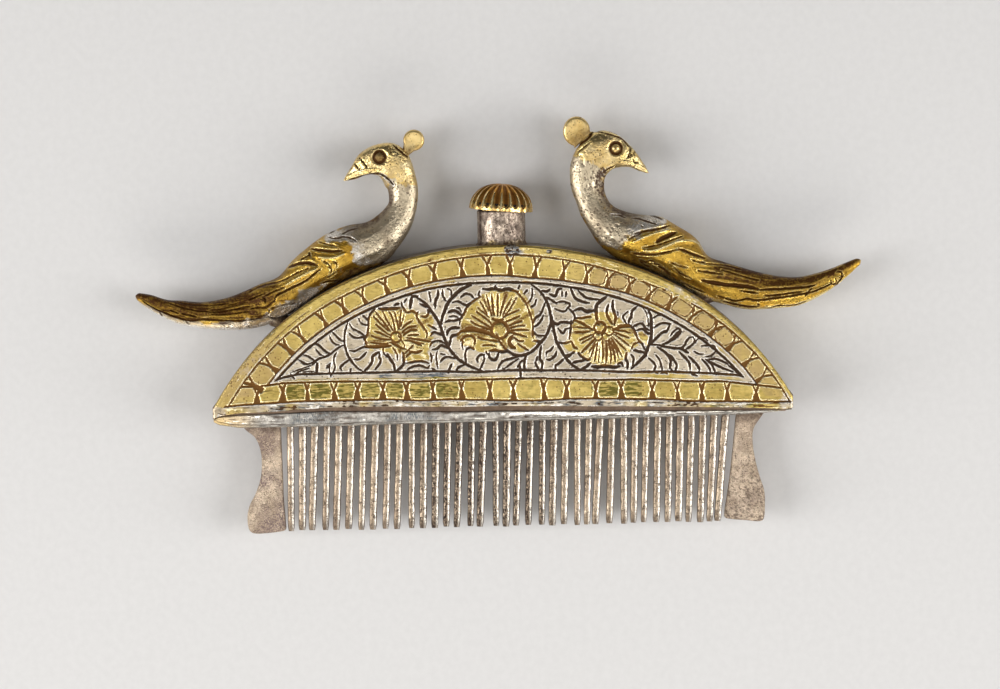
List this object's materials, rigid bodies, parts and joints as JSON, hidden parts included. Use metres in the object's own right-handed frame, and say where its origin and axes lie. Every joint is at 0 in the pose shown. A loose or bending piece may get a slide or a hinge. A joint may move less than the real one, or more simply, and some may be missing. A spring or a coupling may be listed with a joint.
{
  "type": "perfume comb",
  "caption": "Hollow arched scent flask with an engraved front, a row of teeth below, two cast peacocks on its edge and a fluted stopper in its neck.",
  "frame": {"origin": "on the plain back face, at the middle of the line through the flask's two lower corners", "axes": "+X along the comb, +Y from the teeth towards the stopper, +Z out of the engraved front"},
  "size_m": [0.1097, 0.0624, 0.01],
  "materials": {
    "gilt": "worn gilding over silver, engraved",
    "silver": "tarnished hand-worked silver",
    "aged_gilt": "dark aged gilding"
  },
  "bodies": {
    "comb": {"front_plate": "gilt", "back_plate": "silver", "edge_band": "silver", "base_bar": "silver", "neck": "silver", "guard_left": "silver", "guard_right": "silver", "peacock_left": "gilt", "peacock_right": "gilt", "crest_left": "gilt", "crest_right": "gilt", "tooth_01": "silver", "tooth_02": "silver", "tooth_03": "silver", "tooth_04": "silver", "tooth_05": "silver", "tooth_06": "silver", "tooth_07": "silver", "tooth_08": "silver", "tooth_09": "silver", "tooth_10": "silver", "tooth_11": "silver", "tooth_12": "silver", "tooth_13": "silver", "tooth_14": "silver", "tooth_15": "silver", "tooth_16": "silver", "tooth_17": "silver", "tooth_18": "silver", "tooth_19": "silver", "tooth_20": "silver", "tooth_21": "silver", "tooth_22": "silver", "tooth_23": "silver", "tooth_24": "silver", "tooth_25": "silver", "tooth_26": "silver", "tooth_27": "silver", "tooth_28": "silver", "tooth_29": "silver", "tooth_30": "silver", "tooth_31": "silver", "tooth_32": "silver", "tooth_33": "silver", "tooth_34": "silver", "tooth_35": "silver", "tooth_36": "silver", "tooth_37": "silver", "tooth_38": "silver"},
    "stopper": {"stopper_cap": "aged_gilt", "stopper_disc": "silver", "stopper_plug": "silver"}
  },
  "joints": [
    {"name": "stopper_lift", "type": "slide", "parent": "comb", "child": "stopper", "axis": [0, 1, 0], "range_m": [0, 0.013]}
  ]
}
